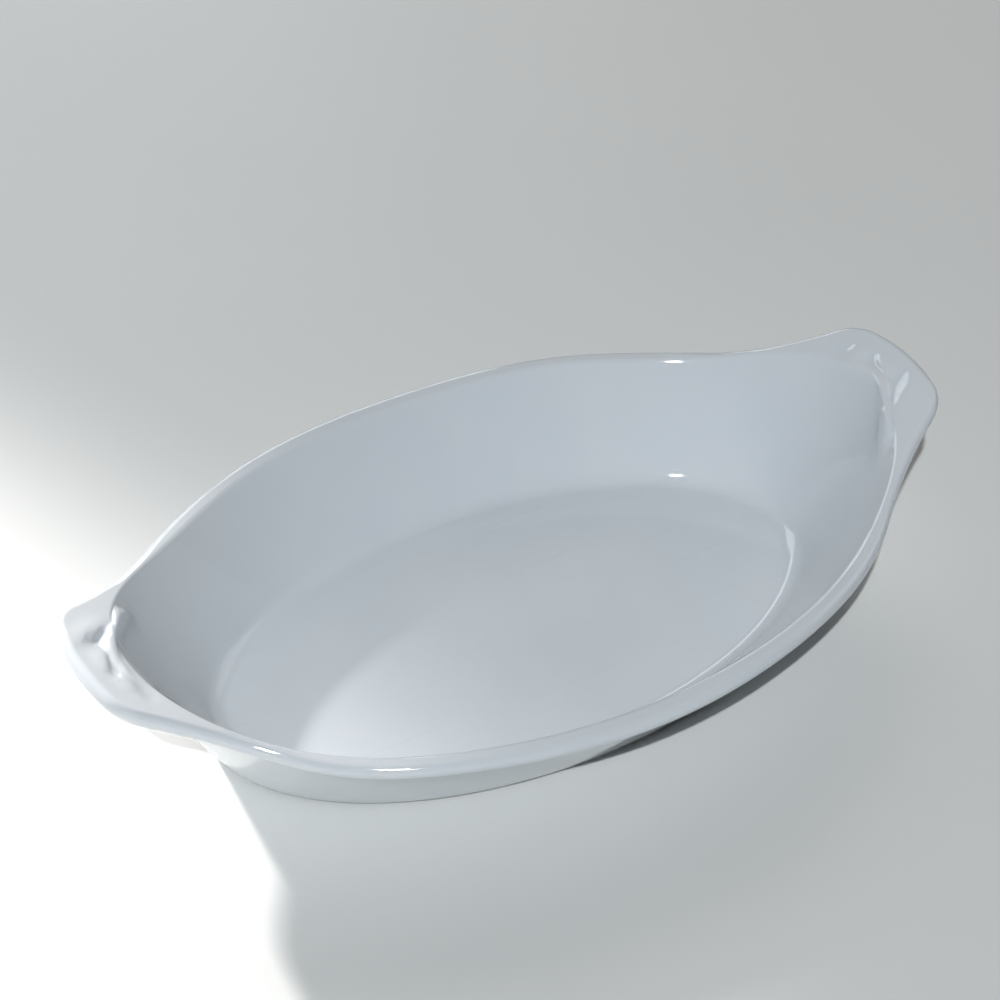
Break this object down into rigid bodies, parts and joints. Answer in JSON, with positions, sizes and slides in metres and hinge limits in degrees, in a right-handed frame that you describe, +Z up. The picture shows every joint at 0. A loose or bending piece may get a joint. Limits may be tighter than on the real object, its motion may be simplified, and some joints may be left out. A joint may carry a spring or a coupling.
{
  "type": "gratin dish",
  "caption": "Oval glazed porcelain dish with sloping walls and an upswept carrying ear with leaf relief at each end, for baking and serving.",
  "frame": {"origin": "middle of the dish on the plane that it rests on", "axes": "+X along the long axis through the ears, +Y across the dish, +Z up out of the basin"},
  "size_m": [0.26, 0.1458, 0.0516],
  "materials": {
    "bare_porcelain": "unglazed fired porcelain, matt and finely grained",
    "glaze": "opaque white glaze, smooth and glossy"
  },
  "bodies": {
    "root": {"porcelain_body": "bare_porcelain", "glaze_coat": "glaze", "underside_glaze": "glaze"}
  },
  "joints": []
}
